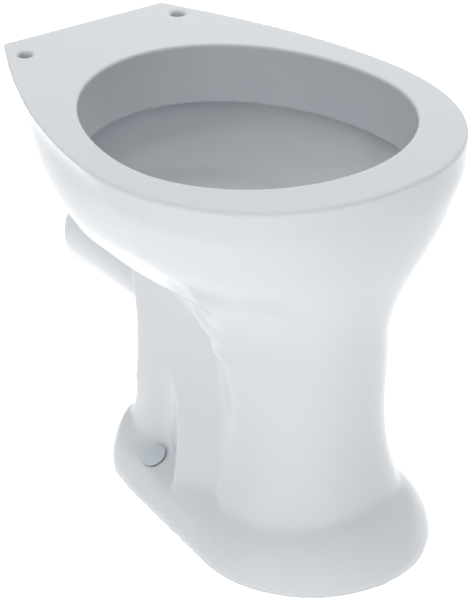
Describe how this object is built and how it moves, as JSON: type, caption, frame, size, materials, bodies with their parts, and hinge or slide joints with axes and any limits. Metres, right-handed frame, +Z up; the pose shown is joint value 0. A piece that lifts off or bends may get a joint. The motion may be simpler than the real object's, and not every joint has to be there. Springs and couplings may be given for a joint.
{
  "type": "floor-standing toilet pan",
  "caption": "Floor-standing washout toilet pan with box rim, oval bowl on a waisted stem, hollow pedestal with rolled plinth, horizontal rear outlet and capped floor fixings.",
  "frame": {"origin": "middle of the overall box, on the floor", "axes": "+Z up, +Y to the wall behind the pan, the front of the bowl faces -Y"},
  "size_m": [0.3604, 0.48, 0.39],
  "materials": {
    "glaze": "clear gloss glaze",
    "sleeve_plastic": "moulded",
    "cap_plastic": "satin gloss"
  },
  "bodies": {
    "pan": {"flush_rim": "glaze", "bowl": "glaze", "left_pedestal": "glaze", "right_pedestal": "glaze", "trapway": "glaze", "flush_inlet": "glaze", "flush_spreader": "glaze", "left_fixing_sleeve": "sleeve_plastic", "right_fixing_sleeve": "sleeve_plastic"},
    "left_cap": {"left_cover_cap": "cap_plastic"},
    "right_cap": {"right_cover_cap": "cap_plastic"}
  },
  "joints": [
    {"name": "left_cap_pull", "type": "slide", "parent": "pan", "child": "left_cap", "axis": [-0.4894, 0, 0.8721], "range_m": [0, 0.09]},
    {"name": "right_cap_pull", "type": "slide", "parent": "pan", "child": "right_cap", "axis": [0.4894, 0, 0.8721], "range_m": [0, 0.09]}
  ]
}
